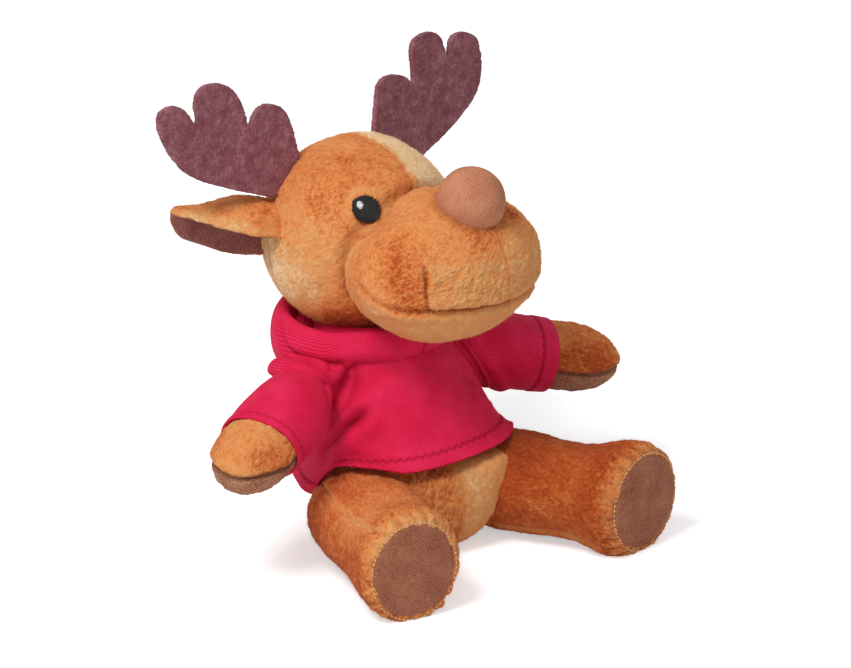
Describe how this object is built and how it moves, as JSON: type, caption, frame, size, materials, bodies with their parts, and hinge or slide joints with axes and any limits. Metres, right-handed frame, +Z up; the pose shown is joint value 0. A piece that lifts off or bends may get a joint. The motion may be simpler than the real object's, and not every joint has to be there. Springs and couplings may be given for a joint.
{
  "type": "plush deer",
  "caption": "Small seated plush deer with felt antlers, folded ears, an oversized muzzle with a ball nose, and a knitted hooded shirt.",
  "frame": {"origin": "on the floor under the deer, midway between the hips, on the flat seat it sits on", "axes": "+Z up, the deer faces -Y, its left side is +X"},
  "size_m": [0.1902, 0.1596, 0.181],
  "materials": {
    "fur": "orange-brown short plush pile",
    "muzzle_fur": "tan short plush pile",
    "pale_fur": "pale tan short plush pile",
    "pad": "mauve-brown velour",
    "nose": "ribbed brown velour",
    "antler_felt": "mottled plum felt",
    "ear_lining": "mauve-brown velour",
    "shirt_knit": "fine knitted crimson jersey",
    "eye_thread": "black satin stitch",
    "glint_thread": "white satin stitch",
    "filling": "white polyester fibre"
  },
  "bodies": {
    "torso": {"torso_back": "fur", "torso_front_right": "fur", "torso_front_left": "fur", "torso_filling": "filling", "shirt_back": "shirt_knit", "shirt_front": "shirt_knit", "hood_band": "shirt_knit", "hood_pouch": "shirt_knit", "tail": "fur"},
    "head": {"face_skin": "fur", "head_back_skin": "fur", "muzzle_panel_right": "muzzle_fur", "muzzle_panel_left": "muzzle_fur", "chin_panel": "pale_fur", "head_filling": "filling", "nose_cover": "nose", "nose_filling": "filling", "eye_right": "eye_thread", "eye_glint_right": "glint_thread", "eye_left": "eye_thread", "eye_glint_left": "glint_thread"},
    "antler_right": {"antler_right_felt": "antler_felt"},
    "ear_right": {"ear_right_back": "fur", "ear_right_lining": "ear_lining"},
    "arm_right": {"arm_right_skin": "fur", "palm_right": "pad", "arm_right_filling": "filling", "sleeve_right": "shirt_knit"},
    "leg_right": {"leg_right_inner_panel": "fur", "leg_right_outer_panel": "fur", "leg_right_filling": "filling", "sole_right": "pad"},
    "antler_left": {"antler_left_felt": "antler_felt"},
    "ear_left": {"ear_left_back": "fur", "ear_left_lining": "ear_lining"},
    "arm_left": {"arm_left_skin": "fur", "palm_left": "pad", "arm_left_filling": "filling", "sleeve_left": "shirt_knit"},
    "leg_left": {"leg_left_inner_panel": "fur", "leg_left_outer_panel": "fur", "leg_left_filling": "filling", "sole_left": "pad"}
  },
  "joints": [
    {"name": "head_turn", "type": "hinge", "parent": "torso", "child": "head", "pos_m": [0, 0.033, 0.1134], "axis": [0, 0.342, 0.9397], "range_deg": [-15, 15], "stiffness_Nm_per_rad": 0.2},
    {"name": "antler_right_flex", "type": "hinge", "parent": "head", "child": "antler_right", "pos_m": [-0.02665, 0.04552, 0.13651], "axis": [0.7297, 0.0924, 0.6775], "range_deg": [-12, 12], "stiffness_Nm_per_rad": 0.03},
    {"name": "ear_right_flop", "type": "hinge", "parent": "head", "child": "ear_right", "pos_m": [-0.03383, 0.04746, 0.1235], "axis": [-0.4315, -0.6355, 0.6403], "range_deg": [-15, 15], "stiffness_Nm_per_rad": 0.02},
    {"name": "antler_left_flex", "type": "hinge", "parent": "head", "child": "antler_left", "pos_m": [0.02669, 0.05015, 0.13326], "axis": [0.6477, 0.0273, -0.7614], "range_deg": [-12, 12], "stiffness_Nm_per_rad": 0.03},
    {"name": "ear_left_flop", "type": "hinge", "parent": "head", "child": "ear_left", "pos_m": [0.0318, 0.05317, 0.1195], "axis": [-0.6083, 0.5451, -0.5769], "range_deg": [-15, 15], "stiffness_Nm_per_rad": 0.02},
    {"name": "arm_right_lift", "type": "hinge", "parent": "torso", "child": "arm_right", "pos_m": [-0.031, 0.017, 0.0685], "axis": [-0.3616, 0.9323, 0], "range_deg": [-15, 15], "stiffness_Nm_per_rad": 0.2},
    {"name": "leg_right_lift", "type": "hinge", "parent": "torso", "child": "leg_right", "pos_m": [-0.03347, -0.01, 0.02], "axis": [-0.9336, 0.3584, 0], "range_deg": [-12, 20], "stiffness_Nm_per_rad": 0.3},
    {"name": "arm_left_lift", "type": "hinge", "parent": "torso", "child": "arm_left", "pos_m": [0.031, 0.017, 0.0635], "axis": [-0.3616, -0.9323, 0], "range_deg": [-15, 15], "stiffness_Nm_per_rad": 0.2},
    {"name": "leg_left_lift", "type": "hinge", "parent": "torso", "child": "leg_left", "pos_m": [0.03005, -0.01779, 0.02], "axis": [-0.9063, -0.4226, 0], "range_deg": [-12, 20], "stiffness_Nm_per_rad": 0.3}
  ]
}
